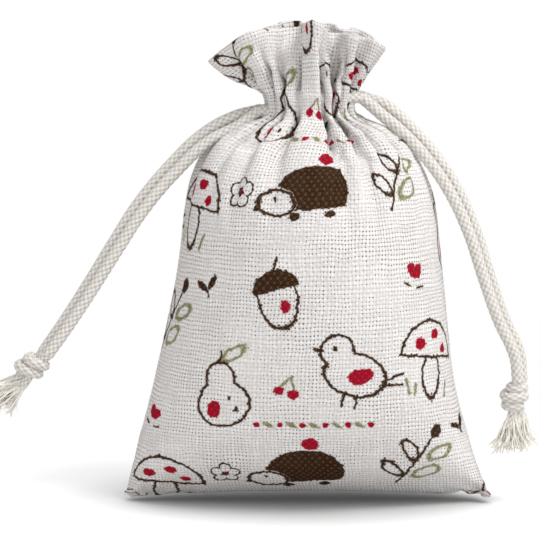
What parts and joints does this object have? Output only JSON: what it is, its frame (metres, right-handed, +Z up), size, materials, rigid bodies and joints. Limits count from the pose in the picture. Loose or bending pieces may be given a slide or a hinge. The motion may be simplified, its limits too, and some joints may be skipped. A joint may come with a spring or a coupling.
{
  "type": "drawstring pouch",
  "caption": "Small stuffed cloth pouch, gathered and drawn shut below a frill by a pair of knotted cords on each side.",
  "frame": {"origin": "centre of the foot, on the surface that the pouch stands on", "axes": "+Z up through the neck, +X towards the right side seam, -Y out of the front"},
  "size_m": [0.1453, 0.0598, 0.1245],
  "materials": {
    "printed_cloth": "matt off-white plain weave with slubs, printed in brown, crimson and olive",
    "cotton_cord": "matt cream braided cotton cord with frayed ends"
  },
  "bodies": {
    "root": {"pouch": "printed_cloth", "left_drawstring": "cotton_cord", "right_drawstring": "cotton_cord", "left_knot": "cotton_cord", "right_knot": "cotton_cord"}
  },
  "joints": []
}
